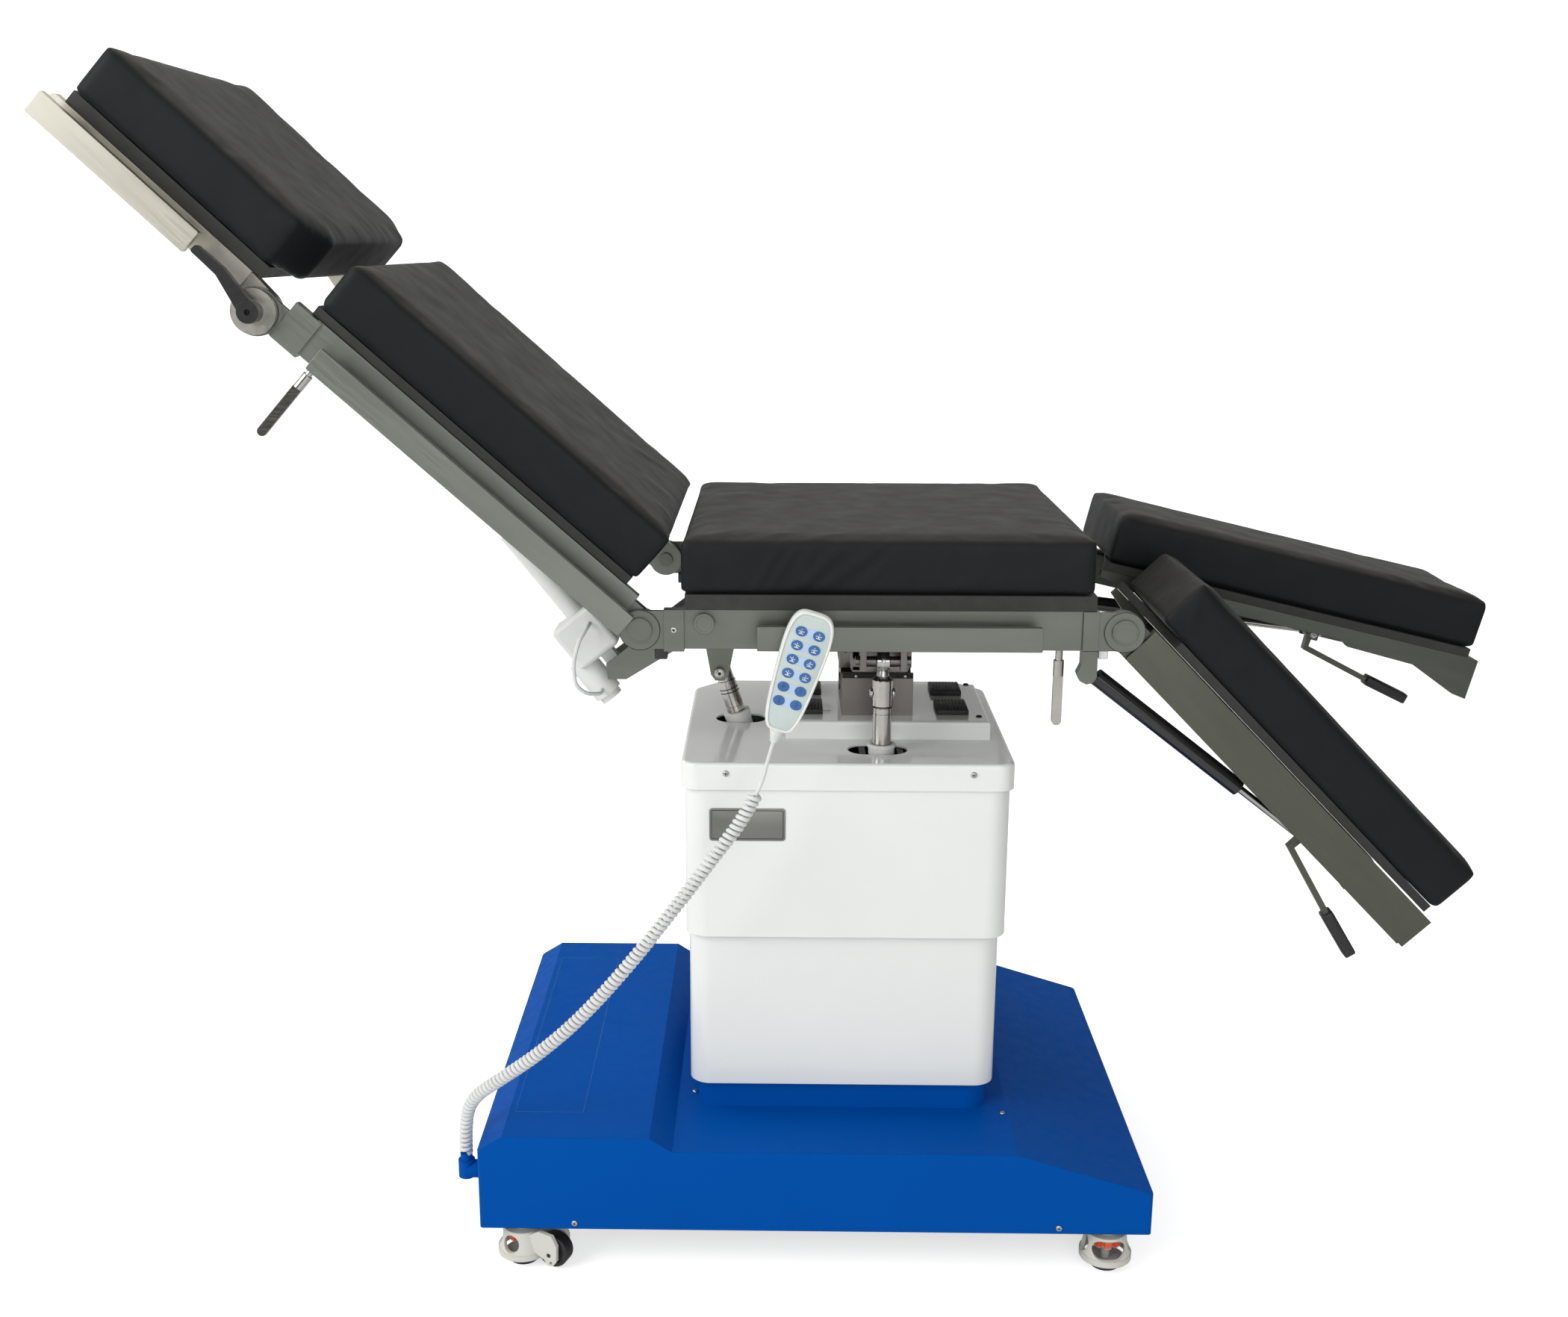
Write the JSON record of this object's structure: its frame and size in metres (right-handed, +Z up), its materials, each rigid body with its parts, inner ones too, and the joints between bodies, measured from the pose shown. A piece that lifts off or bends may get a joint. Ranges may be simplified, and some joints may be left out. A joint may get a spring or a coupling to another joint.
{
  "type": "operating table",
  "caption": "Electric operating table on a telescopic column and wheeled base, with tilting seat, raised back, head section, split leg sections, side rails and a corded handset.",
  "frame": {"origin": "on the floor under the middle of the base cover", "axes": "+X towards the leg end, -X towards the head end, -Y towards the side with the handset, +Z up"},
  "size_m": [1.8421, 0.6506, 1.532],
  "materials": {
    "black_plastic": "matt",
    "blue_paint": "satin powder coat",
    "cast_ivory": "cast, painted",
    "cord_jacket": "satin",
    "dark_board": "matt",
    "dark_steel": "matt paint",
    "foot_rubber": "matt",
    "key_membrane": "satin film",
    "pad_cover": "matt coated fabric",
    "polished_steel": "polished",
    "spring_black": "gloss paint",
    "stainless": "satin brushed",
    "wheel_nylon": "matt",
    "white_gloss": "gloss paint",
    "white_plastic": "satin"
  },
  "bodies": {
    "base": {"base_cover": "blue_paint", "base_frame": "dark_steel", "cord_coil": "cord_jacket"},
    "lower_sleeve": {"lower_sleeve": "white_gloss"},
    "column_head": {"upper_sleeve": "white_gloss", "column_cap": "white_gloss", "moving_column": "dark_steel", "head_block": "stainless"},
    "yoke": {"tilt_yoke": "stainless"},
    "seat": {"seat_frame": "stainless", "seat_rails": "stainless", "seat_panel": "dark_board", "seat_pad": "pad_cover", "handset_shell": "white_plastic", "handset_keypad": "key_membrane", "cord_lead": "cord_jacket"},
    "side_actuator": {"side_actuator_tube": "white_plastic"},
    "side_actuator_rod": {"side_actuator_rod": "polished_steel"},
    "end_actuator": {"end_actuator_tube": "white_plastic"},
    "end_actuator_rod": {"end_actuator_rod": "polished_steel"},
    "back": {"back_frame": "stainless", "back_rails": "stainless", "back_panel": "dark_board", "back_pad": "pad_cover"},
    "back_actuator": {"back_actuator": "white_plastic", "actuator_lead": "cord_jacket"},
    "back_actuator_rod": {"back_actuator_rod": "polished_steel"},
    "head": {"head_frame": "stainless", "head_rails": "stainless", "head_panel": "dark_board", "head_pad": "pad_cover"},
    "head_lever_near": {"head_lever_near": "black_plastic"},
    "head_lever_far": {"head_lever_far": "black_plastic"},
    "head_clamp_near": {"head_clamp_near": "polished_steel"},
    "near_leg": {"near_leg_frame": "stainless", "near_leg_panel": "dark_board", "near_leg_pad": "pad_cover"},
    "near_leg_lever": {"near_leg_lever": "stainless"},
    "near_gas_spring": {"near_gas_spring_tube": "spring_black"},
    "near_gas_spring_rod": {"near_gas_spring_rod": "polished_steel"},
    "leg_clamp_near": {"leg_clamp_near": "polished_steel"},
    "far_leg": {"far_leg_frame": "stainless", "far_leg_panel": "dark_board", "far_leg_pad": "pad_cover"},
    "far_leg_lever": {"far_leg_lever": "stainless"},
    "far_gas_spring": {"far_gas_spring_tube": "spring_black"},
    "far_gas_spring_rod": {"far_gas_spring_rod": "polished_steel"},
    "leg_clamp_far": {"leg_clamp_far": "polished_steel"},
    "caster_back_near": {"caster_housing_back_near": "cast_ivory"},
    "wheel_back_near": {"caster_wheel_back_near": "wheel_nylon"},
    "foot_back_near": {"levelling_foot_back_near": "foot_rubber"},
    "caster_back_far": {"caster_housing_back_far": "cast_ivory"},
    "wheel_back_far": {"caster_wheel_back_far": "wheel_nylon"},
    "foot_back_far": {"levelling_foot_back_far": "foot_rubber"},
    "caster_foot_near": {"caster_housing_foot_near": "cast_ivory"},
    "wheel_foot_near": {"caster_wheel_foot_near": "wheel_nylon"},
    "foot_foot_near": {"levelling_foot_foot_near": "foot_rubber"},
    "caster_foot_far": {"caster_housing_foot_far": "cast_ivory"},
    "wheel_foot_far": {"caster_wheel_foot_far": "wheel_nylon"},
    "foot_foot_far": {"levelling_foot_foot_far": "foot_rubber"}
  },
  "joints": [
    {"name": "lift", "type": "slide", "parent": "base", "child": "column_head", "axis": [0, 0, 1], "range_m": [-0.225, 0], "deforming": ["cord_coil"]},
    {"name": "lower_sleeve_slide", "type": "slide", "parent": "base", "child": "lower_sleeve", "axis": [0, 0, 1], "range_m": [-0.03375, 0]},
    {"name": "lateral_tilt", "type": "hinge", "parent": "column_head", "child": "yoke", "pos_m": [0.08, 0, 0.722], "axis": [1, 0, 0], "range_deg": [-15, 15], "deforming": ["cord_coil"]},
    {"name": "head_foot_tilt", "type": "hinge", "parent": "yoke", "child": "seat", "pos_m": [0.08, 0, 0.79], "axis": [0, -1, 0], "range_deg": [-20, 15], "deforming": ["cord_coil"]},
    {"name": "side_actuator_swing", "type": "hinge", "parent": "column_head", "child": "side_actuator", "pos_m": [0.084, -0.148, 0.64], "axis": [1, 0, 0], "range_deg": [-7, 7]},
    {"name": "side_actuator_stroke", "type": "slide", "parent": "side_actuator", "child": "side_actuator_rod", "axis": [0, 0, 1], "range_m": [-0.04, 0.04]},
    {"name": "end_actuator_swing", "type": "hinge", "parent": "column_head", "child": "end_actuator", "pos_m": [-0.0974, 0, 0.64], "axis": [0, -1, 0], "range_deg": [-5, 4]},
    {"name": "end_actuator_stroke", "type": "slide", "parent": "end_actuator", "child": "end_actuator_rod", "axis": [-0.3048, 0, 0.9524], "range_m": [-0.0565, 0.0755]},
    {"name": "back_hinge", "type": "hinge", "parent": "seat", "child": "back", "pos_m": [-0.2217, 0, 0.8495], "axis": [0, 1, 0], "range_deg": [-55, 5]},
    {"name": "back_actuator_swing", "type": "hinge", "parent": "seat", "child": "back_actuator", "pos_m": [-0.262, -0.12, 0.774], "axis": [0, 1, 0], "range_deg": [-56, 6]},
    {"name": "back_actuator_stroke", "type": "slide", "parent": "back_actuator", "child": "back_actuator_rod", "axis": [-0.6222, 0, 0.7828], "range_m": [-0.0805, 0.0085]},
    {"name": "head_hinge", "type": "hinge", "parent": "back", "child": "head", "pos_m": [-0.66871, 0, 1.23166], "axis": [0, 1, 0], "range_deg": [-90, 12]},
    {"name": "head_lever_near_turn", "type": "hinge", "parent": "head", "child": "head_lever_near", "pos_m": [-0.66871, -0.265, 1.23166], "axis": [0, 1, 0], "range_deg": [0, 60]},
    {"name": "head_lever_far_turn", "type": "hinge", "parent": "head", "child": "head_lever_far", "pos_m": [-0.66871, 0.265, 1.23166], "axis": [0, 1, 0], "range_deg": [0, 60]},
    {"name": "head_clamp_near_turn", "type": "hinge", "parent": "back", "child": "head_clamp_near", "pos_m": [-0.60464, -0.243, 1.16676], "axis": [-0.6639, 0, -0.7478], "continuous": true},
    {"name": "near_leg_hinge", "type": "hinge", "parent": "seat", "child": "near_leg", "pos_m": [0.3724, -0.243, 0.8495], "axis": [0, 1, 0], "range_deg": [-60.5, 44.5]},
    {"name": "near_leg_lever_pull", "type": "hinge", "parent": "near_leg", "child": "near_leg_lever", "pos_m": [0.62879, -0.195, 0.57148], "axis": [0, -1, 0], "range_deg": [0, 12], "stiffness_Nm_per_rad": 3, "springref_deg": -20.05},
    {"name": "near_gas_spring_swing", "type": "hinge", "parent": "seat", "child": "near_gas_spring", "pos_m": [0.332, -0.224, 0.797], "axis": [0, 1, 0], "range_deg": [-60.19, 44.35]},
    {"name": "near_gas_spring_stroke", "type": "slide", "parent": "near_gas_spring", "child": "near_gas_spring_rod", "axis": [0.7913, 0, -0.6114], "range_m": [-0.0458, 0.06209]},
    {"name": "leg_clamp_near_turn", "type": "hinge", "parent": "seat", "child": "leg_clamp_near", "pos_m": [0.2945, -0.243, 0.8], "axis": [0, 0, 1], "continuous": true},
    {"name": "far_leg_hinge", "type": "hinge", "parent": "seat", "child": "far_leg", "pos_m": [0.3724, 0.243, 0.8495], "axis": [0, 1, 0], "range_deg": [-28.3, 76.7]},
    {"name": "far_leg_lever_pull", "type": "hinge", "parent": "far_leg", "child": "far_leg_lever", "pos_m": [0.7375, 0.195, 0.75086], "axis": [0, -1, 0], "range_deg": [0, 12], "stiffness_Nm_per_rad": 3, "springref_deg": -20.05},
    {"name": "far_gas_spring_swing", "type": "hinge", "parent": "seat", "child": "far_gas_spring", "pos_m": [0.332, 0.224, 0.797], "axis": [0, 1, 0], "range_deg": [-28.32, 76.23]},
    {"name": "far_gas_spring_stroke", "type": "slide", "parent": "far_gas_spring", "child": "far_gas_spring_rod", "axis": [0.9929, 0, -0.1191], "range_m": [-0.07842, 0.02925]},
    {"name": "leg_clamp_far_turn", "type": "hinge", "parent": "seat", "child": "leg_clamp_far", "pos_m": [0.2945, 0.243, 0.8], "axis": [0, 0, 1], "continuous": true},
    {"name": "caster_back_near_swivel", "type": "hinge", "parent": "base", "child": "caster_back_near", "pos_m": [-0.385, -0.282, 0.055], "axis": [0, 0, 1], "continuous": true},
    {"name": "wheel_back_near_spin", "type": "hinge", "parent": "caster_back_near", "child": "wheel_back_near", "pos_m": [-0.34112, -0.29884, 0.0235], "axis": [0.3584, 0.9336, 0], "continuous": true},
    {"name": "foot_back_near_screw", "type": "slide", "parent": "caster_back_near", "child": "foot_back_near", "axis": [0, 0, 1], "range_m": [-0.003, 0.004]},
    {"name": "caster_back_far_swivel", "type": "hinge", "parent": "base", "child": "caster_back_far", "pos_m": [-0.385, 0.282, 0.055], "axis": [0, 0, 1], "continuous": true},
    {"name": "wheel_back_far_spin", "type": "hinge", "parent": "caster_back_far", "child": "wheel_back_far", "pos_m": [-0.3396, 0.26984, 0.0235], "axis": [0.2588, 0.9659, 0], "continuous": true},
    {"name": "foot_back_far_screw", "type": "slide", "parent": "caster_back_far", "child": "foot_back_far", "axis": [0, 0, 1], "range_m": [-0.003, 0.004]},
    {"name": "caster_foot_near_swivel", "type": "hinge", "parent": "base", "child": "caster_foot_near", "pos_m": [0.385, -0.282, 0.055], "axis": [0, 0, 1], "continuous": true},
    {"name": "wheel_foot_near_spin", "type": "hinge", "parent": "caster_foot_near", "child": "wheel_foot_near", "pos_m": [0.385, -0.235, 0.0235], "axis": [-1, 0, 0], "continuous": true},
    {"name": "foot_foot_near_screw", "type": "slide", "parent": "caster_foot_near", "child": "foot_foot_near", "axis": [0, 0, 1], "range_m": [-0.003, 0.004]},
    {"name": "caster_foot_far_swivel", "type": "hinge", "parent": "base", "child": "caster_foot_far", "pos_m": [0.385, 0.282, 0.055], "axis": [0, 0, 1], "continuous": true},
    {"name": "wheel_foot_far_spin", "type": "hinge", "parent": "caster_foot_far", "child": "wheel_foot_far", "pos_m": [0.3396, 0.29416, 0.0235], "axis": [-0.2588, -0.9659, 0], "continuous": true},
    {"name": "foot_foot_far_screw", "type": "slide", "parent": "caster_foot_far", "child": "foot_foot_far", "axis": [0, 0, 1], "range_m": [-0.003, 0.004]}
  ],
  "couplings": [
    {"joint": "lower_sleeve_slide", "follows": "lift", "ratio": 0.15},
    {"joint": "side_actuator_swing", "follows": "lateral_tilt", "ratio": 0.437},
    {"joint": "side_actuator_stroke", "follows": "lateral_tilt", "m_per_rad": -0.1476},
    {"joint": "end_actuator_swing", "follows": "head_foot_tilt", "ratio": 0.22},
    {"joint": "end_actuator_stroke", "follows": "head_foot_tilt", "m_per_rad": -0.2126},
    {"joint": "back_actuator_swing", "follows": "back_hinge", "ratio": 1},
    {"joint": "back_actuator_stroke", "follows": "back_hinge", "m_per_rad": 0.08274},
    {"joint": "near_gas_spring_swing", "follows": "near_leg_hinge", "ratio": 0.99},
    {"joint": "near_gas_spring_stroke", "follows": "near_leg_hinge", "m_per_rad": -0.05833},
    {"joint": "far_gas_spring_swing", "follows": "far_leg_hinge", "ratio": 0.99},
    {"joint": "far_gas_spring_stroke", "follows": "far_leg_hinge", "m_per_rad": -0.05821}
  ]
}
